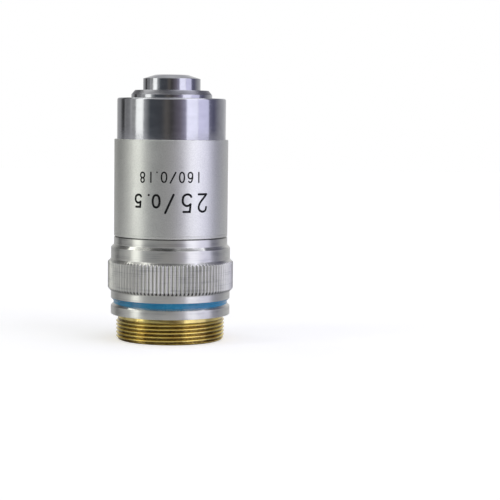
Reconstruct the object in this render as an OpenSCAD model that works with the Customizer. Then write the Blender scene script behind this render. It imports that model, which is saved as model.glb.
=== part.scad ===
// Microscope objective with a spring-loaded nose, standing nose up.
// Z is the optical axis. Z = 0 is the shoulder that meets the nosepiece.
// All lengths are in millimetres.

/* [Mounting thread] */
// Crest diameter of the mounting thread
thread_d = 20.24; // [20.0:0.02:20.3]
// Length from the shoulder to the rear end
thread_len = 4.8; // [4.4:0.1:5.4]
// Chamfer at the rear end of the thread
thread_chamfer = 0.45; // [0.2:0.05:0.6]

/* [Cover sleeve] */
// How far the cover sleeve and the neck below it stand out from the thread's crest
sleeve_step = 0.46; // [0.3:0.02:0.8]
// Height of the cover sleeve
sleeve_h = 17.92; // [16:0.1:20]
// Wall of the sleeve around the mount tube
sleeve_wall = 1.15; // [1:0.05:1.3]
// Wall of the sleeve around the nose
mouth_wall = 0.44; // [0.3:0.02:0.6]
// Broken edge at both ends of the sleeve
sleeve_edge = 0.12; // [0.05:0.01:0.2]

/* [Grip collar] */
// How far the flange and both rings stand out from the sleeve
ring_step = 0.54; // [0.3:0.01:0.7]
// How far the knurl stands out from the rings
knurl_step = 0.58; // [0.4:0.01:0.8]
// Height of the flange
flange_h = 1.56; // [1:0.02:2.4]
// Depth of the colour groove
groove_depth = 0.49; // [0.3:0.01:0.7]
// Height of the floor of the colour groove
groove_h = 0.36; // [0.3:0.01:1]
// Height of each sloping side of the colour groove
groove_side_h = 0.54; // [0.3:0.02:0.9]
// Thickness of the enamel in the groove
enamel_t = 0.12; // [0.06:0.02:0.3]
// Height of the ring below the knurl
lower_ring_h = 1.22; // [0.6:0.02:2]
// Height of the slope below the knurl
knurl_foot_h = 0.7; // [0.4:0.05:1.2]
// Height of the knurl between its slopes
knurl_h = 4.79; // [3:0.05:7]
// Height of the slope above the knurl
knurl_head_h = 0.67; // [0.4:0.05:1.4]
// Number of flutes around the knurl
knurl_flutes = 98; // [60:1:120]
// Depth of each flute
flute_depth = 0.3; // [0.15:0.01:0.34]
// Included angle of each flute
flute_angle = 84; // [70:1:110]
// Height of the ring above the knurl
upper_ring_h = 2.1; // [1:0.1:3]
// Height of the slope between the upper ring and the neck
neck_slope_h = 0.54; // [0.3:0.02:1]
// Height of the neck below the seam
neck_h = 1.36; // [0.4:0.05:2]
// Width of the seam between the collar and the sleeve
seam_h = 0.2; // [0.1:0.02:0.5]
// Depth of the seam
seam_depth = 0.35; // [0.15:0.05:0.6]

/* [Mount tube] */
// Wall of the tube around the spring
tube_wall = 0.95; // [0.7:0.05:1.2]
// Length of the tube inside the cover sleeve
tube_engage_h = 6; // [4:0.5:8]
// Height of the guide bore's lower end above the shoulder
guide_z = 1; // [0.5:0.1:1.4]
// Length of the guide bore that the lens barrel slides in
guide_h = 13.5; // [11:0.5:15]

/* [Nose] */
// Height of the nose above the sleeve
nose_h = 7.6; // [6:0.1:9]
// Chamfer at the top edge of the nose
nose_edge = 0.38; // [0.1:0.02:0.8]
// Length of the skirt inside the sleeve at rest
skirt_h = 2; // [1:0.1:3]
// Wall of the skirt
skirt_wall = 0.8; // [0.5:0.05:0.9]
// Length of the screwed boss that holds the nose on the barrel
boss_h = 4.6; // [3:0.1:5.5]
// Diameter of the step on top of the nose
step_d = 15.02; // [14.6:0.02:16]
// Height of the step's upright wall
step_wall_h = 0.6; // [0.3:0.02:1]
// Diameter of the flat top of the step
step_top_d = 13.66; // [12.6:0.02:14]
// Height of the step's sloping edge
step_slope_h = 0.84; // [0.4:0.02:1.2]
// Thickness of the nose's roof under the step
roof_h = 2.6; // [2.2:0.1:3.2]
// Travel of the nose into the sleeve
travel = 2.5; // [1.5:0.1:2.8]

/* [Front cell] */
// Diameter of the tip
tip_d = 10.64; // [10:0.02:11.2]
// Height of the tip's upright wall above the step
tip_h = 2.16; // [1.8:0.02:3]
// Height of the cone on the tip
tip_cone_h = 0.7; // [0.5:0.05:1.2]
// Diameter of the flat front face
tip_face_d = 6.2; // [5.8:0.1:7]
// Diameter of the opening over the front lens
front_opening_d = 4.4; // [3.8:0.1:4.8]
// Thickness of the lip in front of the front lens
front_lip_h = 0.3; // [0.2:0.05:0.5]
// Height of the clamped flange
cell_flange_h = 0.7; // [0.5:0.05:1]
// Length of the spigot inside the barrel
spigot_h = 2.9; // [2:0.1:4]
// Wall of the spigot
spigot_wall = 1.2; // [0.8:0.1:2]

/* [Lens barrel] */
// Wall of the sliding lens barrel
barrel_wall = 0.8; // [0.6:0.05:1]
// Wall of the stop ring and of the lock ring
stop_ring_wall = 0.95; // [0.7:0.05:1.1]
// Height of the stop ring
stop_ring_h = 1.15; // [0.8:0.05:1.3]
// Height of the lock ring
lock_ring_h = 0.95; // [0.7:0.05:1.1]
// Length of the barrel that stands out behind the lock ring
barrel_tail_h = 0.4; // [0.1:0.1:0.6]

/* [Lenses] */
// Diameter of the front lens
front_glass_d = 5.8; // [5.2:0.1:6]
// Edge thickness of the front lens
front_glass_edge = 0.8; // [0.5:0.1:1.2]
// Radius of the front lens's rear surface
front_glass_r = 3.6; // [3.4:0.1:5]
// Wall of the middle cell
middle_cell_wall = 1.8; // [1.4:0.1:2.2]
// Radius of the middle doublet's cemented surface
middle_cement_r = 7; // [6.5:0.1:9]
// Radius of the middle doublet's rear surface
middle_rear_r = 9.5; // [8.5:0.1:12]
// Wall of the rear cell
rear_cell_wall = 1.2; // [0.8:0.1:1.6]
// Radius of the rear doublet's cemented surface
rear_cement_r = 8.5; // [8:0.1:10]
// Radius of the rear doublet's rear surface
rear_rear_r = 12; // [10:0.1:15]
// Thickness at the middle of each flint lens
flint_centre_h = 0.9; // [0.6:0.1:1.4]
// Edge thickness of each crown lens
crown_edge_h = 0.5; // [0.3:0.1:0.8]
// Width of the lip in front of each doublet
cell_lip_w = 0.45; // [0.3:0.05:0.7]
// Thickness of the lip in front of each doublet
cell_lip_h = 0.5; // [0.3:0.05:0.8]
// Length of the spacer between the front cell and the middle cell
front_spacer_h = 1.2; // [0.6:0.1:2]
// Length of the tube between the middle cell and the rear cell
spacer_tube_h = 5; // [3:0.5:6]
// Wall of both spacers
spacer_wall = 0.8; // [0.5:0.1:1.1]
// Thickness of the aperture stop
aperture_stop_h = 0.5; // [0.3:0.05:0.8]
// Opening of the aperture stop
aperture_d = 7.4; // [6.5:0.1:8.5]
// Height of the retaining ring behind the lenses
retaining_ring_h = 1.5; // [1:0.1:2.5]
// Wall of the retaining ring
retaining_ring_wall = 1.4; // [1:0.1:1.8]

/* [Spring and guide screw] */
// Wire diameter of the return spring
wire_d = 0.6; // [0.4:0.05:0.7]
// Number of open turns of the return spring
spring_turns = 8; // [6:1:10]
// Thickness of the washer above the spring
washer_h = 0.5; // [0.3:0.05:0.8]
// Height of the guide screw above the shoulder
guide_screw_z = 7.4; // [5:0.1:8.5]
// Thread diameter of the guide screw
guide_screw_d = 1.6; // [1.4:0.1:2]
// Diameter of the guide screw's plain tip
guide_tip_d = 1; // [0.8:0.1:1.2]
// Depth of the guide slot in the barrel
slot_depth = 0.45; // [0.3:0.05:0.55]

/* [Fits] */
// Radial clearance between pieces that are screwed or cemented together
screw_fit = 0.03; // [0.01:0.01:0.05]
// Radial clearance between the nose and the sleeve, and the barrel and its bore
slide_fit = 0.05; // [0.02:0.01:0.08]
// Clearance at the ends of the stop ring and of the spring
stop_gap = 0.05; // [0.02:0.01:0.2]
// Room between the skirt and the sleeve's inner ledge at full travel
ledge_gap = 0.35; // [0.2:0.05:0.6]
// Radial room on each side of the spring
spring_gap = 0.3; // [0.2:0.02:0.4]
// Radial room around the stop ring and the lock ring
recess_gap = 0.2; // [0.1:0.05:0.3]

/* [Hidden] */
round_fn = 128;
past = 1; // how far a cutting shape runs past the face that it cuts

// Radii, from the thread and the sleeve inwards
thread_r = thread_d / 2;
sleeve_r = thread_r + sleeve_step;
ring_r = sleeve_r + ring_step;
knurl_r = ring_r + knurl_step;
groove_r = ring_r - groove_depth;
groove_floor_r = groove_r - enamel_t;
seam_r = sleeve_r - seam_depth;
mouth_r = sleeve_r - mouth_wall;
nose_r = mouth_r - slide_fit;
skirt_r = nose_r - skirt_wall;
tube_bore_fit_r = sleeve_r - sleeve_wall;
tube_r = tube_bore_fit_r - screw_fit;
pocket_r = tube_r - tube_wall;
spring_r = pocket_r - spring_gap - wire_d / 2;
barrel_r = spring_r - wire_d / 2 - spring_gap;
barrel_fit_r = barrel_r + screw_fit;
guide_r = barrel_r + slide_fit;
barrel_bore_r = barrel_r - barrel_wall;
cell_r = barrel_bore_r - screw_fit;
stop_ring_r = barrel_fit_r + stop_ring_wall;
recess_r = stop_ring_r + recess_gap;
tip_r = tip_d / 2;

// Heights of the collar's edges, from the shoulder up
groove_foot_z = flange_h + groove_side_h;
groove_head_z = groove_foot_z + groove_h;
lower_ring_z = groove_head_z + groove_side_h;
knurl_foot_z = lower_ring_z + lower_ring_h;
knurl_z = knurl_foot_z + knurl_foot_h;
knurl_head_z = knurl_z + knurl_h;
upper_ring_z = knurl_head_z + knurl_head_h;
neck_slope_z = upper_ring_z + upper_ring_h;
neck_z = neck_slope_z + neck_slope_h;
seam_z = neck_z + neck_h;

// Heights of the sleeve, the nose and the tip
sleeve_z = seam_z + seam_h;
sleeve_top_z = sleeve_z + sleeve_h;
nose_top_z = sleeve_top_z + nose_h;
step_wall_z = nose_top_z + step_wall_h;
step_top_z = step_wall_z + step_slope_h;
tip_wall_z = step_top_z + tip_h;
tip_z = tip_wall_z + tip_cone_h;
skirt_z = sleeve_top_z - skirt_h;
ledge_z = skirt_z - travel - ledge_gap;

// Heights inside the nose
roof_z = step_top_z - roof_h;
barrel_top_z = roof_z - cell_flange_h;
boss_z = roof_z - boss_h;
spring_top_z = boss_z - washer_h;
spigot_z = barrel_top_z - spigot_h;

// Heights of the guide, the stop and the barrel's rear end
pocket_z = guide_z + guide_h;
tube_top_z = sleeve_z + tube_engage_h;
stop_ring_z = guide_z - stop_gap - stop_ring_h;
lock_ring_z = stop_ring_z - lock_ring_h;
barrel_z = lock_ring_z - barrel_tail_h;

// Glass sizes, the flint's bevel, and the rolled edge and free end behind each doublet
middle_glass_r = cell_r - middle_cell_wall;
rear_glass_r = cell_r - rear_cell_wall;
bevel_w = 0.1;
roll_w = 0.25;
cell_tail_h = 0.3;

// How far a spherical surface of radius r has fallen away at the distance d from the axis
function sag(r, d) = r - sqrt(r * r - d * d);

// Length of the glass at its edge, and of the cell that holds it
function flint_edge_h(glass_r, cement_r) = flint_centre_h + sag(cement_r, glass_r - bevel_w);
function glass_edge_h(glass_r, cement_r) = flint_edge_h(glass_r, cement_r) + crown_edge_h;
function cell_h(glass_r, cement_r, back_r) =
    cell_lip_h + glass_edge_h(glass_r, cement_r) + sag(back_r, glass_r) + cell_tail_h;

// The lens stack runs from the front cell's spigot down to the retaining ring
middle_cell_z = spigot_z - front_spacer_h;
spacer_tube_z = middle_cell_z - cell_h(middle_glass_r, middle_cement_r, middle_rear_r);
rear_cell_z = spacer_tube_z - spacer_tube_h;
aperture_stop_z = rear_cell_z - cell_h(rear_glass_r, rear_cement_r, rear_rear_r);
retaining_ring_z = aperture_stop_z - aperture_stop_h;

// The front lens lies against its lip, and a ring behind it touches the curved face
front_lens_r = front_glass_d / 2;
front_lens_bore_r = front_lens_r + screw_fit;
front_lens_edge_z = tip_z - front_lip_h - front_glass_edge;
front_ring_r = front_lens_r - 0.5;
front_ring_h = 0.7;
front_ring_z = front_lens_edge_z - sag(front_glass_r, front_lens_r)
    + sag(front_glass_r, front_ring_r) - screw_fit - front_ring_h;

// A solid of revolution from an outline of [radius, height] points
module turned(outline) {
    rotate_extrude($fn = round_fn)
        polygon(outline);
}

// A plain ring between two radii, standing on height z
module ring(inner_r, outer_r, z, h) {
    turned([[inner_r, z], [outer_r, z], [outer_r, z + h], [inner_r, z + h]]);
}

// Two spanner notches across a ring's lower face at height z
module spanner_notches(outer_r, z, depth, width) {
    translate([-outer_r - past, -width / 2, z - past])
        cube([2 * (outer_r + past), width, depth + past]);
}

// The guide screw, its hole and its slot all lie along the X axis at the screw's height
module at_guide_screw(distance) {
    translate([distance, 0, guide_screw_z])
        rotate([0, 90, 0])
            children();
}

module thread_mount() {
    color("#b8964a")
        difference() {
            turned([
                [recess_r, -thread_len],
                [thread_r - thread_chamfer, -thread_len],
                [thread_r, -thread_len + thread_chamfer],
                [thread_r, 0],
                [tube_r, 0],
                [tube_r, tube_top_z],
                [pocket_r, tube_top_z],
                [pocket_r, pocket_z],
                [guide_r, pocket_z],
                [guide_r, guide_z],
                [recess_r, guide_z]
            ]);
            at_guide_screw(0)
                cylinder(d = guide_screw_d + 2 * screw_fit, h = tube_r + past, $fn = 48);
        }
}

// Star outline whose inner corners are the roots of the flutes
module flute_star() {
    half_pitch = 180 / knurl_flutes;
    root_r = knurl_r - flute_depth;
    point_r = root_r + root_r * tan(half_pitch) / tan(flute_angle / 2);
    polygon([
        for (i = [0 : 2 * knurl_flutes - 1])
            let (r = i % 2 == 0 ? root_r : point_r)
                r * [cos(i * half_pitch), sin(i * half_pitch)]
    ]);
}

// One turned piece: flange, colour groove, lower ring, knurl, upper ring, neck and seam
module grip_collar() {
    color("#b4b6b4")
        difference() {
            turned([
                [tube_bore_fit_r, 0],
                [ring_r, 0],
                [ring_r, flange_h],
                [groove_floor_r, groove_foot_z],
                [groove_floor_r, groove_head_z],
                [ring_r - enamel_t, lower_ring_z],
                [ring_r, lower_ring_z],
                [ring_r, knurl_foot_z],
                [knurl_r, knurl_z],
                [knurl_r, knurl_head_z],
                [ring_r, upper_ring_z],
                [ring_r, neck_slope_z],
                [sleeve_r, neck_z],
                [sleeve_r, seam_z],
                [seam_r, seam_z],
                [seam_r, sleeve_z],
                [tube_bore_fit_r, sleeve_z]
            ]);
            translate([0, 0, knurl_foot_z])
                linear_extrude(height = upper_ring_z - knurl_foot_z)
                    difference() {
                        circle(r = knurl_r + past, $fn = round_fn);
                        flute_star();
                    }
        }
}

// Enamel on the groove's floor and on its upper slope, ending against the lower slope
module colour_band() {
    slope_share = (ring_r - groove_r) / (ring_r - groove_floor_r);
    color("#2c6a91")
        turned([
            [groove_floor_r, groove_foot_z],
            [groove_r, flange_h + groove_side_h * slope_share],
            [groove_r, groove_head_z],
            [ring_r, lower_ring_z],
            [ring_r - enamel_t, lower_ring_z],
            [groove_floor_r, groove_head_z]
        ]);
}

module cover_sleeve() {
    color("#d2d3d6")
        turned([
            [tube_bore_fit_r, sleeve_z],
            [sleeve_r - sleeve_edge, sleeve_z],
            [sleeve_r, sleeve_z + sleeve_edge],
            [sleeve_r, sleeve_top_z - sleeve_edge],
            [sleeve_r - sleeve_edge, sleeve_top_z],
            [mouth_r, sleeve_top_z],
            [mouth_r, ledge_z],
            [tube_bore_fit_r, ledge_z]
        ]);
}

// A headless screw with a driver slot outside and a plain tip in the barrel's slot
module guide_screw() {
    end_r = tube_r - 0.3;
    tip_end_r = barrel_r - slot_depth + slide_fit;
    driver_slot_w = 0.3;
    driver_slot_h = 0.4;
    color("#6d6e70")
        difference() {
            union() {
                at_guide_screw(tip_end_r)
                    cylinder(d = guide_tip_d, h = end_r - tip_end_r, $fn = 48);
                at_guide_screw(guide_r)
                    cylinder(d = guide_screw_d, h = end_r - guide_r, $fn = 48);
            }
            translate([end_r - driver_slot_h, -past, guide_screw_z - driver_slot_w / 2])
                cube([driver_slot_h + past, 2 * past, driver_slot_w]);
        }
}

// Rise of the wire after a number of turns: a closed turn, the open turns and a closed turn
function coil_rise(turn, pitch) =
    let (open = min(max(turn - 1, 0), spring_turns))
        (turn - open) * wire_d + open * pitch;

// Compression spring: one round wire swept along the coil
module return_spring() {
    steps = 20;
    sides = 8;
    wire_r = wire_d / 2;
    low_z = pocket_z + wire_r + stop_gap;
    high_z = spring_top_z - wire_r - stop_gap;
    pitch = (high_z - low_z - 2 * wire_d) / spring_turns;
    last = (spring_turns + 2) * steps;
    points = [
        for (i = [0 : last], s = [0 : sides - 1])
            let (a = i * 360 / steps, b = s * 360 / sides, r = spring_r + wire_r * cos(b))
                [r * cos(a), r * sin(a), low_z + coil_rise(i / steps, pitch) + wire_r * sin(b)]
    ];
    walls = [
        for (i = [0 : last - 1], s = [0 : sides - 1])
            let (low = i * sides, high = low + sides, next = (s + 1) % sides)
                each [
                    [low + s, high + next, low + next],
                    [low + s, high + s, high + next]
                ]
    ];
    first_end = [for (s = [0 : sides - 1]) s];
    last_end = [for (s = [sides - 1 : -1 : 0]) last * sides + s];
    color("#9a9c9e")
        polyhedron(points = points, faces = concat(walls, [first_end, last_end]));
}

module nose_cap() {
    color("#c9c9d2")
        turned([
            [skirt_r, skirt_z],
            [nose_r, skirt_z],
            [nose_r, nose_top_z - nose_edge],
            [nose_r - nose_edge, nose_top_z],
            [step_d / 2, nose_top_z],
            [step_d / 2, step_wall_z],
            [step_top_d / 2, step_top_z],
            [tip_r + screw_fit, step_top_z],
            [tip_r + screw_fit, roof_z],
            [barrel_fit_r, roof_z],
            [barrel_fit_r, boss_z],
            [skirt_r, boss_z]
        ]);
}

module front_cell() {
    color("#c4c4cc")
        turned([
            [front_opening_d / 2, tip_z],
            [front_opening_d / 2, tip_z - front_lip_h],
            [front_lens_bore_r, tip_z - front_lip_h],
            [front_lens_bore_r, front_ring_z],
            [cell_r - spigot_wall, spigot_z],
            [cell_r, spigot_z],
            [cell_r, barrel_top_z],
            [barrel_r, barrel_top_z],
            [barrel_r, roof_z],
            [tip_r, roof_z],
            [tip_r, tip_wall_z],
            [tip_face_d / 2, tip_z]
        ]);
}

// Front lens, flat in front and strongly rounded behind
module front_lens() {
    back_z = front_lens_edge_z - sag(front_glass_r, front_lens_r);
    color("#cfe0e6", 0.6)
        intersection() {
            translate([0, 0, back_z - past])
                cylinder(r = front_lens_r, h = tip_z - front_lip_h - back_z + past, $fn = round_fn);
            translate([0, 0, back_z + front_glass_r])
                sphere(r = front_glass_r, $fn = round_fn);
        }
}

module front_lens_ring() {
    color("#2a2a2c")
        difference() {
            ring(front_ring_r, front_lens_r, front_ring_z, front_ring_h);
            spanner_notches(front_lens_r, front_ring_z, 0.25, 0.6);
        }
}

module spring_washer() {
    color("#9a9c9e")
        ring(barrel_fit_r, pocket_r, spring_top_z, washer_h);
}

// Brass tube with a blind slot that the guide screw's tip runs in
module lens_barrel() {
    slot_r = guide_tip_d / 2 + slide_fit;
    floor_x = barrel_r - slot_depth;
    color("#b8964a")
        difference() {
            ring(barrel_bore_r, barrel_r, barrel_z, barrel_top_z - barrel_z);
            for (rise = [0, travel])
                translate([0, 0, rise])
                    at_guide_screw(floor_x)
                        cylinder(r = slot_r, h = slot_depth + past, $fn = 48);
            translate([floor_x, -slot_r, guide_screw_z])
                cube([slot_depth + past, 2 * slot_r, travel]);
        }
}

module front_spacer() {
    color("#b8964a")
        ring(cell_r - spacer_wall, cell_r, middle_cell_z, front_spacer_h);
}

// Brass cell hanging from height z: a lip in front of the glass and a rolled edge behind it
module doublet_cell(glass_r, cement_r, back_r, z) {
    bore_r = glass_r + screw_fit;
    glass_z = z - cell_lip_h;
    roll_z = glass_z - glass_edge_h(glass_r, cement_r)
        - sag(back_r, glass_r) + sag(back_r, bore_r - roll_w) - screw_fit;
    low_z = z - cell_h(glass_r, cement_r, back_r);
    color("#b8964a")
        turned([
            [bore_r - cell_lip_w, z],
            [bore_r - cell_lip_w, glass_z],
            [bore_r, glass_z],
            [bore_r, roll_z],
            [bore_r - roll_w, roll_z],
            [bore_r, roll_z - roll_w],
            [bore_r, low_z],
            [cell_r, low_z],
            [cell_r, z]
        ]);
}

// Flint lens hanging from height z, flat in front and hollow behind
module flint_lens(glass_r, cement_r, z) {
    edge_h = flint_edge_h(glass_r, cement_r);
    color("#cfe0e6", 0.6)
        difference() {
            translate([0, 0, z - edge_h])
                cylinder(r = glass_r, h = edge_h, $fn = round_fn);
            translate([0, 0, z - flint_centre_h - cement_r])
                sphere(r = cement_r, $fn = round_fn);
        }
}

// Crown lens, rounded on both sides, cemented into the flint lens that hangs from height z
module crown_lens(glass_r, cement_r, back_r, z) {
    cement_t = 0.02;
    front_z = z - flint_centre_h - cement_t;
    back_z = z - glass_edge_h(glass_r, cement_r) - sag(back_r, glass_r);
    color("#cfe0e6", 0.6)
        intersection() {
            translate([0, 0, back_z - past])
                cylinder(r = glass_r, h = front_z - back_z + 2 * past, $fn = round_fn);
            translate([0, 0, front_z - cement_r])
                sphere(r = cement_r, $fn = round_fn);
            translate([0, 0, back_z + back_r])
                sphere(r = back_r, $fn = round_fn);
        }
}

module middle_cell() {
    doublet_cell(middle_glass_r, middle_cement_r, middle_rear_r, middle_cell_z);
}

module middle_flint_lens() {
    flint_lens(middle_glass_r, middle_cement_r, middle_cell_z - cell_lip_h);
}

module middle_crown_lens() {
    crown_lens(middle_glass_r, middle_cement_r, middle_rear_r, middle_cell_z - cell_lip_h);
}

module spacer_tube() {
    color("#b8964a")
        ring(cell_r - spacer_wall, cell_r, rear_cell_z, spacer_tube_h);
}

module rear_cell() {
    doublet_cell(rear_glass_r, rear_cement_r, rear_rear_r, rear_cell_z);
}

module rear_flint_lens() {
    flint_lens(rear_glass_r, rear_cement_r, rear_cell_z - cell_lip_h);
}

module rear_crown_lens() {
    crown_lens(rear_glass_r, rear_cement_r, rear_rear_r, rear_cell_z - cell_lip_h);
}

module aperture_stop() {
    color("#2a2a2c")
        ring(aperture_d / 2, cell_r, retaining_ring_z, aperture_stop_h);
}

module retaining_ring() {
    low_z = retaining_ring_z - retaining_ring_h;
    color("#2a2a2c")
        difference() {
            ring(cell_r - retaining_ring_wall, cell_r, low_z, retaining_ring_h);
            spanner_notches(cell_r, low_z, 0.6, 1.2);
        }
}

module stop_ring() {
    color("#b8964a")
        ring(barrel_fit_r, stop_ring_r, stop_ring_z, stop_ring_h);
}

module lock_ring() {
    color("#b8964a")
        difference() {
            ring(barrel_fit_r, stop_ring_r, lock_ring_z, lock_ring_h);
            spanner_notches(stop_ring_r, lock_ring_z, 0.5, 1.2);
        }
}

thread_mount();
grip_collar();
colour_band();
cover_sleeve();
guide_screw();
return_spring();
nose_cap();
front_cell();
front_lens();
front_lens_ring();
spring_washer();
lens_barrel();
front_spacer();
middle_cell();
middle_flint_lens();
middle_crown_lens();
spacer_tube();
rear_cell();
rear_flint_lens();
rear_crown_lens();
aperture_stop();
retaining_ring();
stop_ring();
lock_ring();
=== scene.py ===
import bmesh
import bpy
import math
from mathutils import Matrix, Vector


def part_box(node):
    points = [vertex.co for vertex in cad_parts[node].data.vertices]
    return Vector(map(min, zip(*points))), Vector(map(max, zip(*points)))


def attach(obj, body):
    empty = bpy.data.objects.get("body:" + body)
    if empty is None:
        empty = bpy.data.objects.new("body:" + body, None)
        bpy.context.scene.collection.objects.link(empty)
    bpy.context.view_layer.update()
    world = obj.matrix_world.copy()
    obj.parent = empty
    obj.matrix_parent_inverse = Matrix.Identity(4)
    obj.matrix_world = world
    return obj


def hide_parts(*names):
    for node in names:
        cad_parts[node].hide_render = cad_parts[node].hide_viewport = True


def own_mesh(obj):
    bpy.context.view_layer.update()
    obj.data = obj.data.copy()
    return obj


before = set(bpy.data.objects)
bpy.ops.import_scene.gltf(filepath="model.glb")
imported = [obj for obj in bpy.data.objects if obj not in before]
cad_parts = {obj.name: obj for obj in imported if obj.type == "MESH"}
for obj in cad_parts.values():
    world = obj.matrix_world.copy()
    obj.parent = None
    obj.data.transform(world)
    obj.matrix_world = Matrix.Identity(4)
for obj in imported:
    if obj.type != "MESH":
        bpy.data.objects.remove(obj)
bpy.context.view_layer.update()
print("frame loaded")

mm = 0.001
weld = 0.0004  # Points of a mesh that are closer than this, in millimetres, become one


# Linear colour from an sRGB hex value
def linear(text):
    parts = [int(text[i:i + 2], 16) / 255 for i in (1, 3, 5)]
    return [c / 12.92 if c <= 0.04045 else ((c + 0.055) / 1.055) ** 2.4 for c in parts] + [1.0]


# Adds a node with its options, its inputs and a ramp's colour stops. Values fill the inputs in use from the
# first, named ones the input of that name, and each is a number, a colour, another node or one of its sockets
def addNode(tree, kind, *values, named=None, stops=(), **options):
    node = tree.nodes.new("ShaderNode" + kind)
    for option, setting in options.items():
        setattr(node, option, setting)
    pairs = list(zip([socket for socket in node.inputs if socket.enabled], values))
    pairs += [(node.inputs[name], value) for name, value in (named or {}).items()]
    for socket, value in pairs:
        if isinstance(value, bpy.types.Node):
            value = next(output for output in value.outputs if output.enabled)
        if isinstance(value, bpy.types.NodeSocket):
            tree.links.new(value, socket)
        else:
            socket.default_value = value
    for i, (place, colour) in enumerate(stops):
        elements = node.color_ramp.elements
        if i >= len(elements):
            elements.new(place)
        elements[i].position, elements[i].color = place, linear(colour)
    return node


def newMaterial(name):
    material = bpy.data.materials.new(name)
    material.use_nodes = True
    material.node_tree.nodes.clear()
    return material, material.node_tree


# Place on the object, counted in steps of the given millimetres
def position(tree, steps=(1, 1, 1)):
    coords = addNode(tree, "TexCoord")
    return addNode(tree, "Mapping", coords.outputs["Object"], named={"Scale": [1 / (s * mm) for s in steps]})


# Distance from the optical axis in millimetres
def radius(tree):
    flat = addNode(tree, "VectorMath", position(tree), (1, 1, 0), operation="MULTIPLY")
    return addNode(tree, "VectorMath", flat, operation="LENGTH")


def height(tree):
    return addNode(tree, "SeparateXYZ", position(tree)).outputs["Z"]


# Wave that goes round the axis so many times
def wave(tree, count):
    axes = addNode(tree, "SeparateXYZ", position(tree))
    around = addNode(tree, "Math", axes.outputs["Y"], axes.outputs["X"], operation="ARCTAN2")
    turns = addNode(tree, "Math", around, count, operation="MULTIPLY")
    return addNode(tree, "Math", turns, operation="COSINE")


# Uneven pattern whose patches measure so many millimetres in X, Y and Z. Its values are mostly 0.3 to 0.7
def patches(tree, sizes, detail=3.0, rough=0.5):
    return addNode(tree, "TexNoise", named={"Vector": position(tree, sizes), "Scale": 1.0, "Detail": detail,
                                            "Roughness": rough})


# Rises from 0 to 1 between the first two of four limits and falls back between the last two
def between(tree, value, limits):
    start, full, fade, end = limits
    rise = addNode(tree, "MapRange", value, start, full, 0.0, 1.0)
    fall = addNode(tree, "MapRange", value, fade, end, 1.0, 0.0)
    return addNode(tree, "Math", rise, fall, operation="MULTIPLY")


# How far inside a place a point is, from 0 to 1, by the place's limits in radius and in height
def insideOf(tree, place, away, up):
    return addNode(tree, "Math", between(tree, away, place["radius"]), between(tree, up, place["height"]),
                   operation="MULTIPLY")


# A mesh from points in millimetres, with a hard edge only where it turns by more than so many degrees
def pieceFrom(name, points, faces, body, sharp):
    mesh = bpy.data.meshes.new(name)
    mesh.from_pydata([(x * mm, y * mm, z * mm) for x, y, z in points], [], faces)
    work = bmesh.new()
    work.from_mesh(mesh)
    bmesh.ops.remove_doubles(work, verts=work.verts, dist=weld * mm)
    bmesh.ops.recalc_face_normals(work, faces=work.faces)
    work.to_mesh(mesh)
    work.free()
    mesh.polygons.foreach_set("use_smooth", [True] * len(mesh.polygons))
    mesh.set_sharp_from_angle(angle=math.radians(sharp))
    piece = bpy.data.objects.new(name, mesh)
    bpy.context.collection.objects.link(piece)
    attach(piece, body)
    return piece


# Rows of points round the axis, closed both ways
def gridMesh(name, rows, body, sharp=30):
    count = len(rows[0])
    faces = []
    for j in range(len(rows)):
        k = (j + 1) % len(rows)
        for i in range(count):
            n = (i + 1) % count
            faces.append((j * count + i, j * count + n, k * count + n, k * count + i))
    return pieceFrom(name, [point for row in rows for point in row], faces, body, sharp)


# An outline of (radius, height, rounding) corners, with each rounding turned into a short arc
def roundedOutline(corners, steps=4):
    points = []
    count = len(corners)
    for i, corner in enumerate(corners):
        here = Vector(corner[:2])
        if len(corner) < 3:
            points.append(tuple(here))
            continue
        last, following = Vector(corners[i - 1][:2]), Vector(corners[(i + 1) % count][:2])
        a, b = (last - here).normalized(), (following - here).normalized()
        half = a.angle(b) / 2
        longest = 0.45 * min((last - here).length, (following - here).length)  # Leaves room for the next one
        run = min(corner[2] / math.tan(half), longest)
        centre = here + (a + b).normalized() * (run / math.cos(half))
        start, end = here + a * run - centre, here + b * run - centre
        turn = start.angle_signed(end)
        for k in range(steps + 1):
            t = -turn * k / steps
            points.append((centre.x + start.x * math.cos(t) - start.y * math.sin(t),
                           centre.y + start.x * math.sin(t) + start.y * math.cos(t)))
    return points


def turned(name, corners, body, segments=320):
    angles = [2 * math.pi * i / segments for i in range(segments)]
    rows = [[(r * math.cos(a), r * math.sin(a), z) for a in angles] for r, z in roundedOutline(corners)]
    return gridMesh(name, rows, body)


def dress(piece, material):
    piece.data.materials.clear()
    piece.data.materials.append(material)


# Camera at the photograph's angle: place and clip in metres, angles in degrees, lens and sensor in mm
camera = {"place": (0.0, -0.29148, 0.03695), "yaw": 2.921, "pitch": 4.9, "roll": 0.682, "focal": 112.36,
          "sensor": 36.0, "clip": (0.01, 20.0)}


def aimCamera(c):
    lens = bpy.data.cameras.new("camera")
    lens.lens, lens.sensor_width = c["focal"], c["sensor"]
    lens.clip_start, lens.clip_end = c["clip"]
    eye = bpy.data.objects.new("camera", lens)
    bpy.context.collection.objects.link(eye)
    eye.location = c["place"]
    turn = (Matrix.Rotation(-math.radians(c["yaw"]), 3, "Z") @
            Matrix.Rotation(math.radians(90 - c["pitch"]), 3, "X") @
            Matrix.Rotation(math.radians(c["roll"]), 3, "Z"))
    eye.rotation_euler = turn.to_euler()
    bpy.context.scene.camera = eye


aimCamera(camera)
bpy.context.scene.view_settings.view_transform = "Standard"

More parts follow.
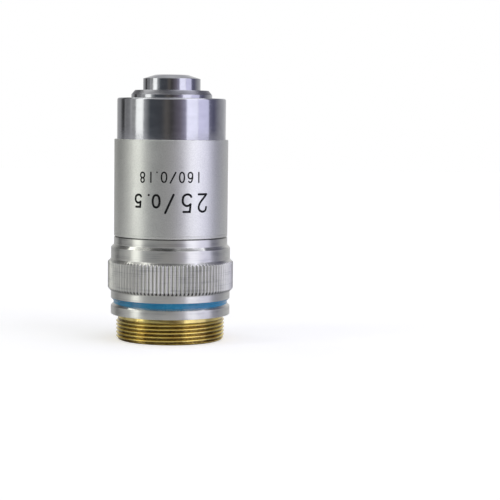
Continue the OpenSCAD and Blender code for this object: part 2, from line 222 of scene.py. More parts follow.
# White table, in metres. Rays other than the camera's meet only the seen share of it, so metal shows the room
# down to its foot. The glow lifts its shade to white, more and more out to its reach, and leaves the shadow
stage = {"floor": -4.8 * mm, "front": -0.25, "size": 0.9, "albedo": "#efefef", "seen": 0.42,
         "glow": (0.45, 0.71), "reach": 0.93}


def whiteTable(s):
    w, front, z = s["size"], s["front"], s["floor"]
    mesh = bpy.data.meshes.new("floor")
    mesh.from_pydata([(-w, front, z), (w, front, z), (w, w, z), (-w, w, z)], [], [(0, 1, 2, 3)])
    table = bpy.data.objects.new("floor", mesh)
    bpy.context.collection.objects.link(table)
    material, tree = newMaterial("white table")
    toCamera = addNode(tree, "LightPath").outputs["Is Camera Ray"]
    lift = addNode(tree, "MapRange", radius(tree), 0.0, s["reach"] / mm, *s["glow"])
    strength = addNode(tree, "Math", toCamera, lift, operation="MULTIPLY")
    glow = addNode(tree, "Emission", linear("#ffffff"), strength)
    matt = addNode(tree, "BsdfDiffuse", linear(s["albedo"]))
    lit = addNode(tree, "AddShader", matt, glow)
    share = addNode(tree, "MapRange", toCamera, 0.0, 1.0, s["seen"], 1.0)
    surface = addNode(tree, "MixShader", share, addNode(tree, "BsdfTransparent"), lit)
    addNode(tree, "OutputMaterial", surface)
    mesh.materials.append(material)


whiteTable(stage)

# The room round the object: a white backdrop for the camera, and for the metal its walls, the slope of its
# ceiling and the ceiling's dark middle. Stops go round from the back over the left to the camera's side, then
# over the right. Slope and middle come in between two heights, 0 being the horizon and 1 straight up
room = {
    "walls": [
        (0.00, "#e4e4e4"), (0.06, "#b0b0b0"), (0.12, "#9c9c9c"), (0.14, "#565656"), (0.152, "#404040"),
        (0.168, "#404040"), (0.18, "#989898"), (0.19, "#828282"), (0.225, "#8c8c8c"), (0.235, "#bcbcbc"),
        (0.25, "#a4a4a2"), (0.33, "#b4b6b6"), (0.37, "#4c5055"), (0.44, "#484a4e"), (0.47, "#66625e"),
        (0.50, "#464444"), (0.55, "#76707c"), (0.585, "#a8a4ba"), (0.74, "#7c7c92"), (0.78, "#5e5e74"),
        (0.85, "#a4a4a8"), (1.00, "#e4e4e4")],
    "slopes": [
        (0.00, "#c4c4c6"), (0.05, "#8a8a8c"), (0.09, "#4c4c4e"), (0.14, "#6a6a6a"), (0.22, "#a0a0a0"),
        (0.32, "#d4d4d4"), (0.68, "#d4d4d8"), (0.78, "#9a9aa6"), (0.86, "#5a5a6a"), (0.93, "#9a9aa4"),
        (1.00, "#c4c4c6")],
    "middle": "#48484a", "slopeHeights": (0.22, 0.55), "middleHeights": (0.86, 0.95)}


def furnish(r):
    world = bpy.data.worlds.new("room")
    bpy.context.scene.world = world
    world.use_nodes = True
    tree = world.node_tree
    tree.nodes.clear()
    axes = addNode(tree, "SeparateXYZ", addNode(tree, "TexCoord").outputs["Generated"])
    back = addNode(tree, "Math", axes.outputs["Y"], -1.0, operation="MULTIPLY")
    around = addNode(tree, "Math", axes.outputs["X"], back, operation="ARCTAN2")
    share = addNode(tree, "MapRange", around, -math.pi, math.pi, 0.0, 1.0)
    level = addNode(tree, "Math", axes.outputs["Z"], operation="ABSOLUTE")
    slope = addNode(tree, "MapRange", level, *r["slopeHeights"], interpolation_type="SMOOTHSTEP")
    middle = addNode(tree, "MapRange", level, *r["middleHeights"], interpolation_type="SMOOTHSTEP")
    walls = addNode(tree, "ValToRGB", share, stops=r["walls"])
    slopes = addNode(tree, "ValToRGB", share, stops=r["slopes"])
    sides = addNode(tree, "Mix", slope, walls, slopes, data_type="RGBA")
    colours = addNode(tree, "Mix", middle, sides, linear(r["middle"]), data_type="RGBA")
    inside = addNode(tree, "Background", colours, 1.0)
    white = addNode(tree, "Background", linear("#ffffff"), 1.0)
    toCamera = addNode(tree, "LightPath").outputs["Is Camera Ray"]
    addNode(tree, "OutputWorld", addNode(tree, "MixShader", toCamera, inside, white))


furnish(room)

# Soft boxes, in metres and degrees. Bearing goes from the camera's side to the right, up is the angle above
# the horizon, width an angle too, rise how far a box is lifted, and level what a mirror would show
lampDistance = 0.6
lamps = [
    {"name": "left_box", "bearing": -71, "up": 0, "width": 19, "tall": 1.55, "rise": 0.375,
     "level": 1.08, "colour": "#fefff8"},
    {"name": "right_box", "bearing": 44.5, "up": 0, "width": 26, "tall": 1.55, "rise": 0.375,
     "level": 1.05, "colour": "#f4f4ff"},
    {"name": "far_right_box", "bearing": 71.5, "up": 0, "width": 27, "tall": 1.55, "rise": 0.375,
     "level": 0.8, "colour": "#e8e6ff"},
    {"name": "high_left_box", "bearing": -125, "up": 55, "width": 20, "tall": 0.23, "rise": 0,
     "level": 1.7, "colour": "#fefff8"},
    {"name": "high_right_box", "bearing": 120, "up": 71, "width": 20, "tall": 0.37, "rise": 0,
     "level": 1.7, "colour": "#f8f8ff"}]


def softBox(box):
    light = bpy.data.lights.new(box["name"], "AREA")
    light.shape = "RECTANGLE"
    light.size = 2 * lampDistance * math.tan(math.radians(box["width"] / 2))
    light.size_y = box["tall"]
    light.energy = box["level"] * light.size * light.size_y * math.pi
    light.color = linear(box["colour"])[:3]
    lamp = bpy.data.objects.new(box["name"], light)
    bpy.context.collection.objects.link(lamp)
    lamp.visible_camera = False
    a, b = math.radians(box["bearing"]), math.radians(box["up"])
    lamp.location = (lampDistance * math.sin(a) * math.cos(b), -lampDistance * math.cos(a) * math.cos(b),
                     lampDistance * math.sin(b) + box["rise"])
    lamp.rotation_euler = (math.radians(90) - b, 0, a)


for box in lamps:
    softBox(box)
print("camera, table, room and lights made")

# From here on a material's dictionary gives pattern sizes in millimetres, tones as values of the pattern with
# their colours, and roughness as two values of the pattern with the roughness at each

# Bright chrome plate on turned brass: nearly a mirror, and fine turning lines and wiping marks keep it from
# looking like glass. The lines are longer than the object is wide, so they run right round it, and 0.07 mm is
# about as far as a finishing tool moves in a turn. The slope of the step was left duller
plate = {"tone": [(0.3, "#c6c7cc"), (0.7, "#cecfd4")], "line": (50, 50, 0.07),
         "lineRough": (0.3, 0.7, 0.09, 0.14), "mark": (2, 2, 1.1), "markRough": (0.3, 0.7, 0.0, 0.04),
         "slope": {"radius": (6.75, 6.85, 7.45, 7.55), "height": (40.7, 40.75, 41.45, 41.56), "rougher": 0.2,
                   "tone": "#9c9ca2"}}


def brightPlate(p):
    material, tree = newMaterial("bright chrome plate")
    lines = patches(tree, p["line"], detail=4.0, rough=0.7)
    marks = patches(tree, p["mark"])
    tone = addNode(tree, "ValToRGB", marks, stops=p["tone"])
    lineRough = addNode(tree, "MapRange", lines, *p["lineRough"])
    markRough = addNode(tree, "MapRange", marks, *p["markRough"])
    rough = addNode(tree, "Math", lineRough, markRough, operation="ADD")
    onSlope = insideOf(tree, p["slope"], radius(tree), height(tree))
    extra = addNode(tree, "Math", onSlope, p["slope"]["rougher"], operation="MULTIPLY")
    rough = addNode(tree, "Math", rough, extra, operation="ADD")
    tone = addNode(tree, "Mix", onSlope, tone, linear(p["slope"]["tone"]), data_type="RGBA")
    shader = addNode(tree, "BsdfPrincipled", named={"Base Color": tone, "Metallic": 1.0, "Roughness": rough})
    addNode(tree, "OutputMaterial", shader)
    return material


chrome = brightPlate(plate)

# Nose shell: radii and heights in millimetres
nose = {"skirt": (9.29, 30.5), "outer": 10.09, "top": 40.1, "edge": 0.34, "step": (7.51, 40.7),
        "stepTop": (6.83, 41.54), "cellBore": 5.35, "roof": 38.94, "barrelBore": 7.28, "boss": 34.34}


def makeNose(n):
    shell = turned("nose_shell", [
        n["skirt"], (n["outer"], n["skirt"][1], 0.05), (n["outer"], n["top"], n["edge"]),
        (n["step"][0], n["top"], 0.03), (*n["step"], 0.05), (*n["stepTop"], 0.06),
        (n["cellBore"], n["stepTop"][1], 0.03), (n["cellBore"], n["roof"]), (n["barrelBore"], n["roof"]),
        (n["barrelBore"], n["boss"]), (n["skirt"][0], n["boss"])], "nose")
    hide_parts("nose_cap")
    dress(shell, chrome)


makeNose(nose)

# Cell of the front lens, whose cone is the tip
tip = {"wall": 5.32, "wallTop": 43.7, "face": 3.1, "top": 44.4, "opening": 2.2, "lip": 44.1, "lensBore": 2.93,
       "ringFoot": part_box("front_lens_ring")[0].z / mm, "spigot": (6.42, 35.34), "spigotBore": 5.22,
       "flange": (7.25, 38.24), "roof": 38.94}


def makeTip(t):
    cell = turned("tip_cell", [
        (t["opening"], t["top"], 0.04), (t["opening"], t["lip"]), (t["lensBore"], t["lip"]),
        (t["lensBore"], t["ringFoot"]), (t["spigotBore"], t["spigot"][1]), t["spigot"],
        (t["spigot"][0], t["flange"][1]), t["flange"], (t["flange"][0], t["roof"]), (t["wall"], t["roof"]),
        (t["wall"], t["wallTop"], 0.06), (t["face"], t["top"], 0.05)], "nose")
    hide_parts("front_cell")
    dress(cell, chrome)


makeTip(tip)
print("nose and tip made")

# Satin plated aluminium, blasted before plating: its grain spreads reflections evenly, so lamps show as soft
# stripes. Blasting leaves pits of about 0.05 mm, drawn coarser so that they show
blasted = {"tone": [(0.35, "#e2e3de"), (0.65, "#f2f3ee")], "grain": (0.22, 0.22, 0.22), "cloud": (3, 3, 3),
           "rough": (0.3, 0.7, 0.40, 0.44), "bump": 0.3, "depth": 0.01}


def satinPlate(s):
    material, tree = newMaterial("satin plated aluminium")
    grain = patches(tree, s["grain"], detail=4.0, rough=0.7)
    tone = addNode(tree, "ValToRGB", grain, stops=s["tone"])
    rough = addNode(tree, "MapRange", patches(tree, s["cloud"]), *s["rough"])
    bump = addNode(tree, "Bump", named={"Height": grain, "Strength": s["bump"], "Distance": s["depth"] * mm})
    shader = addNode(tree, "BsdfPrincipled", named={"Base Color": tone, "Metallic": 1.0, "Roughness": rough,
                                                    "Normal": bump})
    addNode(tree, "OutputMaterial", shader)
    return material


# Cover sleeve, with a fine line cut round it just above its foot: the line's height and depth
sleeve = {"bore": 9.43, "outer": 10.58, "foot": 14.58, "top": 32.5, "mouth": 10.14, "ledge": 27.65,
          "line": (15.08, 0.07)}


def makeSleeve(s):
    lineHeight, depth = s["line"]
    cover = turned("satin_sleeve", [
        (s["bore"], s["foot"]), (s["outer"], s["foot"], 0.1), (s["outer"], lineHeight - depth),
        (s["outer"] - depth, lineHeight), (s["outer"], lineHeight + depth), (s["outer"], s["top"], 0.12),
        (s["mouth"], s["top"], 0.05), (s["mouth"], s["ledge"]), (s["bore"], s["ledge"])], "mount")
    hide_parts("cover_sleeve")
    dress(cover, satinPlate(blasted))


makeSleeve(sleeve)
print("sleeve made")


# Flat black, painted or blackened: it swallows the light, and a fine grain keeps it from looking like a hole
def blackFinish(name, b):
    material, tree = newMaterial(name)
    grain = patches(tree, b["grain"])
    tone = addNode(tree, "ValToRGB", grain, stops=b["tone"])
    rough = addNode(tree, "MapRange", grain, *b["rough"])
    bump = addNode(tree, "Bump", named={"Height": grain, "Strength": b["bump"], "Distance": b["depth"] * mm})
    shader = addNode(tree, "BsdfPrincipled", named={"Base Color": tone, "Roughness": rough, "Normal": bump,
                                                    "Specular IOR Level": b["shine"]})
    addNode(tree, "OutputMaterial", shader)
    return material


# Paint rubbed into the engraving. Its pigment is finer than 0.17 mm and drawn that coarse so that it shows
paint = {"tone": [(0.3, "#060607"), (0.75, "#121214")], "grain": (0.17, 0.17, 0.17),
         "rough": (0.3, 0.7, 0.5, 0.65), "bump": 0.15, "depth": 0.01, "shine": 0.25}
ink = blackFinish("black engraving paint", paint)

# Each sign of the engraving is drawn in strokes in a unit square, from its foot
strokes = {
    "0": [("loop", (0.5, 0.0), (0.86, 0.12), (1.0, 0.5), (0.86, 0.88), (0.5, 1.0), (0.14, 0.88), (0.0, 0.5),
           (0.14, 0.12))],
    "1": [("line", (0.5, 0.0), (0.5, 1.0))],
    "2": [("curve", (0.02, 0.74), (0.12, 0.92), (0.48, 1.0), (0.86, 0.92), (0.98, 0.73), (0.8, 0.48),
           (0.34, 0.2), (0.0, 0.0)),
          ("line", (0.0, 0.0), (1.0, 0.0))],
    "5": [("line", (0.9, 1.0), (0.16, 1.0), (0.08, 0.56)),
          ("curve", (0.08, 0.56), (0.3, 0.64), (0.62, 0.65), (0.93, 0.52), (1.0, 0.32), (0.88, 0.1),
           (0.5, 0.0), (0.14, 0.04), (0.0, 0.14))],
    "6": [("curve", (0.88, 0.9), (0.6, 1.0), (0.24, 0.9), (0.04, 0.62), (0.0, 0.33)),
          ("loop", (0.5, 0.0), (0.88, 0.1), (1.0, 0.32), (0.88, 0.54), (0.5, 0.63), (0.12, 0.54), (0.0, 0.32),
           (0.12, 0.1))],
    "8": [("loop", (0.5, 0.0), (0.87, 0.08), (1.0, 0.28), (0.84, 0.47), (0.5, 0.55), (0.16, 0.47),
           (0.0, 0.28), (0.13, 0.08)),
          ("loop", (0.5, 0.55), (0.8, 0.61), (0.92, 0.78), (0.8, 0.94), (0.5, 1.0), (0.2, 0.94),
           (0.08, 0.78), (0.2, 0.61))],
    "/": [("line", (0.0, 0.0), (1.0, 1.0))],
    ".": [("line", (0.4, 0.5), (0.6, 0.5))]}

# Two rows of numbers. Line is the width of the strokes. Each sign has the bearing of its middle in degrees,
# from the camera's side to the right, then its width and its two heights in millimetres. The signs stand on
# their heads
numbers = {
    "engraved_power": {"line": 0.4, "signs": [
        ("2", 32.6, 2.07, 19.4, 22.96), ("5", 15.8, 2.0, 19.4, 22.96), ("/", -1.6, 1.89, 19.2, 22.89),
        ("0", -14.7, 1.68, 20.18, 22.78), (".", -22.4, 0.41, 22.42, 22.78), ("5", -34.0, 1.6, 20.18, 22.78)]},
    "engraved_tube": {"line": 0.27, "signs": [
        ("1", 28.1, 0.5, 24.8, 26.85), ("6", 19.1, 1.11, 24.8, 26.85), ("0", 10.6, 1.14, 24.8, 26.85),
        ("/", 1.8, 1.24, 24.7, 26.85), ("0", -7.0, 1.21, 24.8, 26.85), (".", -14.0, 0.26, 26.6, 26.83),
        ("1", -20.2, 0.46, 24.76, 26.8), ("8", -29.2, 1.08, 24.72, 26.78)]}}

# How deep the strokes go, how far the paint stands out, how long a straight step may be and how narrow a sign's
# middle line may get, in millimetres
engraving = {"depth": 0.05, "proud": 0.006, "longest": 0.2, "narrowest": 0.001, "sharp": 40}


# Points of a stroke, rounded through its corners unless it is a line
def strokePath(kind, points, steps=8):
    p = [Vector(q) for q in points]
    if kind == "line":
        return p
    count = len(p)
    spans = count if kind == "loop" else count - 1
    path = []
    for i in range(spans):
        near = (i - 1, i, i + 1, i + 2)
        a, b, c, d = [p[k % count] if kind == "loop" else p[min(max(k, 0), count - 1)] for k in near]
        for s in range(steps):
            t = s / steps
            path.append(0.5 * (2 * b + (c - a) * t + (2 * a - 5 * b + 4 * c - d) * t * t
                               + (3 * b - a - 3 * c + d) * t ** 3))
    if kind == "curve":
        path.append(p[-1])
    return path


# The same path in steps short enough to follow the sleeve
def shortSteps(path, longest):
    points = []
    for a, b in zip(path, path[1:]):
        steps = max(1, math.ceil((b - a).length / longest))
        points += [a.lerp(b, k / steps) for k in range(steps)]
    return points + path[-1:]


# Cross-sections of a stroke as (middle, sideways direction, half width), with round ends
def strokeSections(path, closed, half):
    sections = []
    count = len(path)
    for i, here in enumerate(path):
        last = path[i - 1] if closed or i else here
        following = path[(i + 1) % count] if closed or i < count - 1 else here
        a, b = (here - last), (following - here)
        a, b = (a if a.length else b).normalized(), (b if b.length else a).normalized()
        along = (a + b).normalized()
        wide = half / max(0.5, along.dot(a))  # Wider at a corner, but at most twice as wide
        sections.append((here, Vector((-along.y, along.x)), wide))
    if not closed:
        for end, sign in ((0, -1), (-1, 1)):
            middle, side, _ = sections[end]
            along = Vector((side.y, -side.x)) * sign
            angles = (0.5, 0.95, 1.3)  # Round the end, in radians
            cap = [(middle + along * half * math.sin(t), side, half * math.cos(t)) for t in angles]
            sections = cap[::-1] + sections if sign < 0 else sections + cap
    return sections


# Each stroke is a thin solid bent round the sleeve, just proud of it
def engrave(name, group, wall, c):
    points, faces = [], []
    half = group["line"] / 2
    for sign, bearing, width, low, high in group["signs"]:
        spanX = max(width - 2 * half, c["narrowest"])
        spanY = max(high - low - 2 * half, c["narrowest"])
        for kind, *corners in strokes[sign]:
            path = [Vector((q.x * spanX, q.y * spanY)) for q in strokePath(kind, corners)]
            closed = kind == "loop"
            sections = strokeSections(shortSteps(path, c["longest"]), closed, half)
            start = len(points)
            for middle, side, wide in sections:
                for offset in (wide, -wide):
                    spot = middle + side * offset
                    a = math.radians(bearing) - (spot.x - spanX / 2) / wall
                    z = high - half - spot.y
                    for r in (wall + c["proud"], wall - c["depth"]):
                        points.append((r * math.sin(a), -r * math.cos(a), z))
            count = len(sections)
            for i in range(count if closed else count - 1):
                p, q = start + 4 * i, start + 4 * ((i + 1) % count)
                faces += [(p, q, q + 2, p + 2), (p + 1, p + 3, q + 3, q + 1),
                          (p, p + 1, q + 1, q), (p + 2, q + 2, q + 3, p + 3)]
            if not closed:
                p, q = start, start + 4 * (count - 1)
                faces += [(p, p + 2, p + 3, p + 1), (q, q + 1, q + 3, q + 2)]
    piece = pieceFrom(name, points, faces, "mount", c["sharp"])
    dress(piece, ink)


for name, group in numbers.items():
    engrave(name, group, sleeve["outer"], engraving)
print("numbers engraved")

# What the turned metals share: clouds of uneven shine, spots in the painted shade, how a wave becomes teeth,
# and the quarter turn that lays the spread of highlights along the axis
turning = {"cloud": (3.3, 3.3, 1.25), "cloudRough": (0.3, 0.7, 0.0, 0.03), "toneFrom": (0.75, 1.15),
           "lineFrom": (0.35, 0.65), "lineRough": 0.07, "spot": (0.4, 0.4, 0.4), "spotFrom": (0.3, 0.7),
           "spotFaint": 0.7, "teeth": (-0.3, 0.2), "turn": 0.25}


# Bare turned metal. Tool lines run right round the axis, so highlights stay narrow round it and spread along
# it; spread is how much. A finishing cut leaves lines under 0.1 mm apart, drawn up to 0.16 mm so that they
# show. Tones are the darker and the brighter. A place is rougher or smoother, or carries painted shade in a
# colour with a strength, all round the axis or so many times
def turnedMetal(name, m, t):
    material, tree = newMaterial(name)
    lines = patches(tree, m["line"], rough=0.6)
    cloud = patches(tree, t["cloud"])
    uneven = addNode(tree, "Math", lines, cloud, operation="ADD")
    tone = addNode(tree, "ValToRGB", uneven, stops=zip(t["toneFrom"], m["tones"]))
    lineRough = addNode(tree, "MapRange", lines, *t["lineFrom"], m["rough"], m["rough"] + t["lineRough"])
    cloudRough = addNode(tree, "MapRange", cloud, *t["cloudRough"])
    rough = addNode(tree, "Math", lineRough, cloudRough, operation="ADD")
    away, up = radius(tree), height(tree)
    for place in m["places"]:
        inside = insideOf(tree, place, away, up)
        if "rougher" in place:
            change = addNode(tree, "Math", inside, place["rougher"], operation="MULTIPLY")
            rough = addNode(tree, "Math", rough, change, operation="ADD")
            continue
        if "times" in place:
            teeth = addNode(tree, "MapRange", wave(tree, place["times"]), *t["teeth"], 0.0, 1.0)
            inside = addNode(tree, "Math", inside, teeth, operation="MULTIPLY")
        # Painted shade: the place's colour darkens the metal there, in spots of uneven strength
        spots = patches(tree, t["spot"])
        faint = place["strength"] * t["spotFaint"]
        strengths = addNode(tree, "MapRange", spots, *t["spotFrom"], faint, place["strength"])
        share = addNode(tree, "Math", inside, strengths, operation="MULTIPLY")
        tone = addNode(tree, "Mix", share, tone, linear(place["paintedShade"]), data_type="RGBA")
    tangent = addNode(tree, "Tangent", direction_type="RADIAL", axis="Z")
    shader = addNode(tree, "BsdfPrincipled", named={
        "Base Color": tone, "Metallic": 1.0, "Roughness": rough, "Anisotropic": m["spread"],
        "Anisotropic Rotation": t["turn"], "Tangent": tangent})
    addNode(tree, "OutputMaterial", shader)
    return material


# Turned aluminium, not plated: grey and a little dull, with painted shade in the flutes' lower ends and in the
# seam, rough flutes where the knurling tool pressed the metal, and three slopes that a sharper tool left bright
aluminium = {
    "tones": ("#cccdc9", "#e4e4df"), "rough": 0.28, "line": (50, 50, 0.16), "spread": 0.8,
    "places": [
        # Painted shade: the flutes' lower ends, where they run out on the foot's slope, are painted near black
        {"radius": (11.2, 11.3, 11.52, 11.6), "height": (4.35, 4.45, 4.8, 4.95), "paintedShade": "#101010",
         "strength": 0.97, "times": 98},
        # Painted shade: the groove of the seam between collar and sleeve is painted near black
        {"radius": (10.0, 10.1, 10.3, 10.5), "height": (14.3, 14.36, 14.6, 14.7), "paintedShade": "#1c1c1b",
         "strength": 0.9},
        {"radius": (11.3, 11.4, 11.58, 11.68), "height": (4.9, 5.0, 9.7, 9.8), "rougher": 0.2},
        {"radius": (10.5, 10.55, 11.1, 11.13), "height": (12.46, 12.5, 13.0, 13.04), "rougher": -0.17},
        {"radius": (11.1, 11.14, 11.66, 11.7), "height": (9.7, 9.76, 10.34, 10.4), "rougher": -0.17},
        {"radius": (10.5, 10.55, 11.1, 11.13), "height": (1.54, 1.6, 2.08, 2.12), "rougher": -0.17}]}

# Grip collar: radii and heights of its edges, and the flutes of its knurl, whose angle is in degrees
collar = {"bore": 9.43, "ring": 11.12, "flange": 1.56, "floor": (10.51, 2.1, 2.46), "lower": 3.0,
          "foot": 4.22, "knurl": (11.7, 4.92, 9.71), "upper": 10.38, "slope": 12.48, "neck": (10.58, 13.02),
          "seam": (10.23, 14.38, 14.58), "enamel": 0.12, "flutes": 98, "root": 11.4, "angle": 84,
          "crown": 0.03, "sharp": 28}


# Half the angle that a flute takes up at a radius
def fluteHalf(wall, c):
    if wall <= c["root"]:
        return 0.0
    a = math.radians(c["angle"] / 2)
    b = 2 * c["root"] * math.cos(a)
    run = (-b + math.sqrt(b * b + 4 * (wall * wall - c["root"] ** 2))) / 2
    return math.atan2(run * math.sin(a), c["root"] + run * math.cos(a))


# The outline's points, with one more wherever a slope of the knurl passes the radius of the flutes' roots
def knurlStations(outline, c, margin=0.2):
    stations = []
    for (r, z), (r2, z2) in zip(outline, outline[1:] + outline[:1]):
        stations.append((r, z))
        onKnurl = c["foot"] - margin < (z + z2) / 2 < c["upper"] + margin
        if onKnurl and (r - c["root"]) * (r2 - c["root"]) < 0:
            share = (c["root"] - r) / (r2 - r)
            stations.append((c["root"], z + share * (z2 - z)))
    return stations


# A turned ring with flutes cut into its knurl. Every row has the same points for a flute, cut there or not
def fluted(name, corners, body, c, tiny=1e-6):
    pitch = 2 * math.pi / c["flutes"]
    full = fluteHalf(c["knurl"][0], c)
    rows = []
    for r, z in knurlStations(roundedOutline(corners), c):
        cut = c["foot"] < z < c["upper"] and r >= c["root"] - tiny
        root, wall = (c["root"], (r + c["root"]) / 2) if cut else (r, r)
        half = fluteHalf(r, c) if cut else full
        middle = fluteHalf(wall, c) if cut else full / 2
        drop = c["crown"] * (r - c["root"]) / (c["knurl"][0] - c["root"]) if cut else 0.0
        spots = [(root, 0.0), (wall, middle)]
        for share in (0.0, 0.3, 0.65, 1.0, 1.35, 1.7, 2.0):  # Across the land, whose middle is 1
            spots.append((r - drop * (share - 1) ** 2, half + (pitch / 2 - half) * share))
        spots.append((wall, pitch - middle))
        row = []
        for i in range(c["flutes"]):
            row += [(away * math.cos(i * pitch + a), away * math.sin(i * pitch + a), z) for away, a in spots]
        rows.append(row)
    return gridMesh(name, rows, body, c["sharp"])


def makeCollar(c):
    floorRadius, floorFoot, floorHead = c["floor"]
    knurlRadius, knurlFoot, knurlHead = c["knurl"]
    grip = fluted("grip_ring", [
        (c["bore"], 0.0), (c["ring"], 0.0, 0.08), (c["ring"], c["flange"], 0.05), (floorRadius, floorFoot),
        (floorRadius, floorHead), (c["ring"] - c["enamel"], c["lower"]), (c["ring"], c["lower"], 0.03),
        (c["ring"], c["foot"], 0.04), (knurlRadius, knurlFoot, 0.06), (knurlRadius, knurlHead, 0.06),
        (c["ring"], c["upper"], 0.05), (c["ring"], c["slope"], 0.05), (*c["neck"], 0.05),
        (c["neck"][0], c["seam"][1], 0.04), (c["seam"][0], c["seam"][1]), (c["seam"][0], c["seam"][2]),
        (c["bore"], c["seam"][2])], "mount", c)
    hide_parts("grip_collar")
    dress(grip, turnedMetal("turned aluminium", aluminium, turning))


makeCollar(collar)

# Gloss enamel wiped into the groove: a clear shine over a film that is a little uneven
film = {"tone": [(0.3, "#187eae"), (0.7, "#2292bc")], "cloud": (3.3, 3.3, 1.25),
        "rough": (0.3, 0.7, 0.2, 0.3), "bump": 0.15, "depth": 0.05, "coat": 0.4, "coatRough": 0.12}


def enamel(f):
    material, tree = newMaterial("blue gloss enamel")
    cloud = patches(tree, f["cloud"])
    tone = addNode(tree, "ValToRGB", cloud, stops=f["tone"])
    rough = addNode(tree, "MapRange", cloud, *f["rough"])
    bump = addNode(tree, "Bump", named={"Height": cloud, "Strength": f["bump"], "Distance": f["depth"] * mm})
    shader = addNode(tree, "BsdfPrincipled", named={
        "Base Color": tone, "Roughness": rough, "Normal": bump, "Coat Weight": f["coat"],
        "Coat Roughness": f["coatRough"]})
    addNode(tree, "OutputMaterial", shader)
    return material


# Enamel on the floor and the upper slope of the colour groove
band = {"floor": (10.51, 2.1), "face": (10.63, 1.994), "head": 2.46, "lip": (11.12, 3.0), "back": 11.0}


def makeBand(b):
    piece = turned("enamel_band", [
        b["floor"], b["face"], (b["face"][0], b["head"], 0.15), (*b["lip"], 0.03), (b["back"], b["lip"][1]),
        (b["floor"][0], b["head"])], "mount")
    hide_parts("colour_band")
    dress(piece, enamel(film))


makeBand(band)
print("collar and band made")

# Lacquered brass of the thread: bright warm crests, and roots painted dark brown as painted shade
threadBrass = {
    "tones": ("#dcba66", "#fce894"), "rough": 0.15, "line": (50, 50, 0.12), "spread": 0.65,
    "places": [
        # Painted shade: the roots between the thread's crests are painted dark brown
        {"radius": (9.4, 9.5, 9.76, 9.9), "height": (-5.0, -4.9, -0.85, -0.7), "paintedShade": "#4a2c0c",
         "strength": 0.85}]}

# Mounting thread, undercut and tube. The thread is 36 to the inch, its flanks lean 27.5 degrees, and crests
# and roots are rounded by a share of the pitch. It runs out over the fade below the relief
thread = {"crest": 10.12, "root": 9.66, "undercut": 9.68, "end": -4.8, "chamfer": 0.45, "pitch": 25.4 / 36,
          "flank": 27.5, "rounding": 0.1373, "relief": -0.74, "fade": 0.2, "recess": (8.43, 1.0),
          "guide": (7.3, 14.5), "pocket": 8.45, "tube": (9.4, 20.58), "segments": 240, "perPitch": 30,
          "sharp": 50}


# Radius of the thread's surface at a share of the pitch, 0.5 being the crest
def threadRadius(share, c):
    away = abs(share % 1.0 - 0.5) * c["pitch"]
    far = c["pitch"] / 2 - away
    rounding = c["rounding"] * c["pitch"]
    flank = math.radians(c["flank"])
    if away < rounding * math.cos(flank):
        return c["crest"] - rounding + math.sqrt(max(0.0, rounding ** 2 - away ** 2))
    if far < rounding * math.cos(flank):
        return c["root"] + rounding - math.sqrt(max(0.0, rounding ** 2 - far ** 2))
    return (c["crest"] + c["root"]) / 2 + (c["pitch"] / 4 - away) / math.tan(flank)


def threaded(name, body, c):
    angles = [2 * math.pi * i / c["segments"] for i in range(c["segments"])]
    plain = roundedOutline([
        (c["undercut"], 0.0), (c["tube"][0], 0.0), (*c["tube"], 0.05), (c["pocket"], c["tube"][1], 0.05),
        (c["pocket"], c["guide"][1]), c["guide"], (c["guide"][0], c["recess"][1]), c["recess"],
        (c["recess"][0], c["end"], 0.05), (c["crest"] - c["chamfer"], c["end"], 0.04)])
    rows = [[(r * math.cos(a), r * math.sin(a), z) for a in angles] for r, z in plain]
    steps = int((c["relief"] - c["end"]) / c["pitch"] * c["perPitch"])
    for j in range(1, steps + 1):
        z = c["end"] + (c["relief"] - c["end"]) * j / steps
        limit = c["crest"] - c["chamfer"] + (z - c["end"])
        fade = max(0.0, min(1.0, (c["relief"] - z) / c["fade"]))
        row = []
        for a in angles:
            r = threadRadius(z / c["pitch"] - a / (2 * math.pi), c)
            r = min(c["undercut"] + (r - c["undercut"]) * fade, limit)
            row.append((r * math.cos(a), r * math.sin(a), z))
        rows.append(row)
    return gridMesh(name, rows, body, c["sharp"])


mountTube = threaded("threaded_mount", "mount", thread)
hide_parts("thread_mount")
dress(mountTube, turnedMetal("lacquered brass of the thread", threadBrass, turning))
print("mounting thread made")

# Plain steel of the spring, the screw and the washer: grey with a soft shine and hardly a line to see
plainSteel = {"tones": ("#9b9c9e", "#b9babc"), "rough": 0.3, "line": (50, 50, 0.05), "spread": 0.75,
              "places": []}
steel = turnedMetal("plain steel", plainSteel, turning)

# Return spring; fixed is the height of its lower end, which stays while the nose slides
spring = {"radius": 7.85, "wire": 0.3, "low": 14.85, "high": 33.49, "turns": 8, "steps": 48, "sides": 14,
          "fixed": 14.5, "sharp": 50}


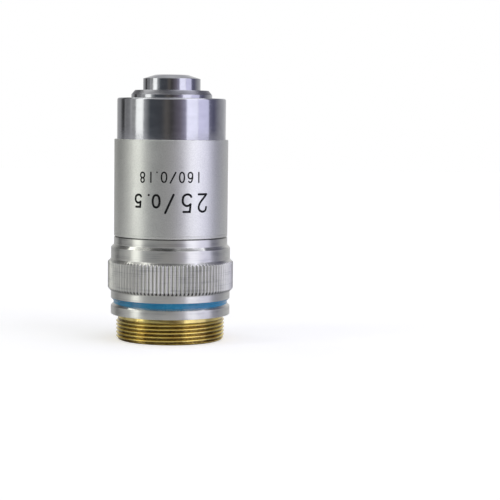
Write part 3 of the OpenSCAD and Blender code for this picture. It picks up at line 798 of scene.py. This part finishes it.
# Open turns between one closed turn at each end
def coil(name, c):
    pitch = (c["high"] - c["low"] - 4 * c["wire"]) / c["turns"]
    last = (c["turns"] + 2) * c["steps"]
    points, faces = [], []
    for i in range(last + 1):
        turns = i / c["steps"]
        opened = min(max(turns - 1, 0), c["turns"])
        rise = (turns - opened) * 2 * c["wire"] + opened * pitch
        a = 2 * math.pi * turns
        for k in range(c["sides"]):
            b = 2 * math.pi * k / c["sides"]
            r = c["radius"] + c["wire"] * math.cos(b)
            points.append((r * math.cos(a), r * math.sin(a), c["low"] + rise + c["wire"] * math.sin(b)))
    for i in range(last):
        for k in range(c["sides"]):
            p, q = i * c["sides"], (k + 1) % c["sides"]
            faces.append((p + k, p + c["sides"] + k, p + c["sides"] + q, p + q))
    faces.append(tuple(range(c["sides"])))
    faces.append(tuple(reversed(range(last * c["sides"], (last + 1) * c["sides"]))))
    return pieceFrom(name, points, faces, "mount", c["sharp"])


springWire = coil("spring_wire", spring)
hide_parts("return_spring")
dress(springWire, steel)
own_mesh(springWire)
print("spring made")

# Optical glass, ground and coated: clear, with a faint violet bloom. Dust is finer and drawn so that it shows
optics = {"tone": [(0.4, "#eef4f2"), (0.8, "#f6faf8")], "dust": (0.25, 0.25, 0.25),
          "rough": (0.55, 0.8, 0.01, 0.06), "ior": 1.6, "coat": 0.4, "bloom": "#b9a4e6"}


def coatedGlass(g):
    material, tree = newMaterial("coated optical glass")
    dust = patches(tree, g["dust"], detail=4.0)
    tone = addNode(tree, "ValToRGB", dust, stops=g["tone"])
    rough = addNode(tree, "MapRange", dust, *g["rough"])
    shader = addNode(tree, "BsdfPrincipled", named={
        "Base Color": tone, "Roughness": rough, "IOR": g["ior"], "Transmission Weight": 1.0,
        "Coat Weight": g["coat"], "Coat Tint": linear(g["bloom"])})
    addNode(tree, "OutputMaterial", shader)
    return material


# Finishes of the inner pieces: brass that is lacquered and less bright than the thread's, and brass blackened
# in a bath so that it throws no light into the picture
innerBrass = {"tones": ("#cdae64", "#ecd58a"), "rough": 0.24, "line": (50, 50, 0.1), "spread": 0.75,
              "places": []}
blackening = {"tone": [(0.3, "#18181a"), (0.75, "#242428")], "grain": (0.17, 0.17, 0.17),
              "rough": (0.3, 0.7, 0.5, 0.65), "bump": 0.15, "depth": 0.01, "shine": 0.25}
finishes = [
    (coatedGlass(optics), ["front_lens", "middle_flint_lens", "middle_crown_lens", "rear_flint_lens",
                           "rear_crown_lens"]),
    (blackFinish("blackened brass", blackening), ["front_lens_ring", "aperture_stop", "retaining_ring"]),
    (turnedMetal("lacquered brass", innerBrass, turning), [
        "lens_barrel", "front_spacer", "middle_cell", "spacer_tube", "rear_cell", "stop_ring", "lock_ring"]),
    (steel, ["guide_screw", "spring_washer"])]
for material, names in finishes:
    for name in names:
        dress(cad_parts[name], material)
print("inner pieces finished")
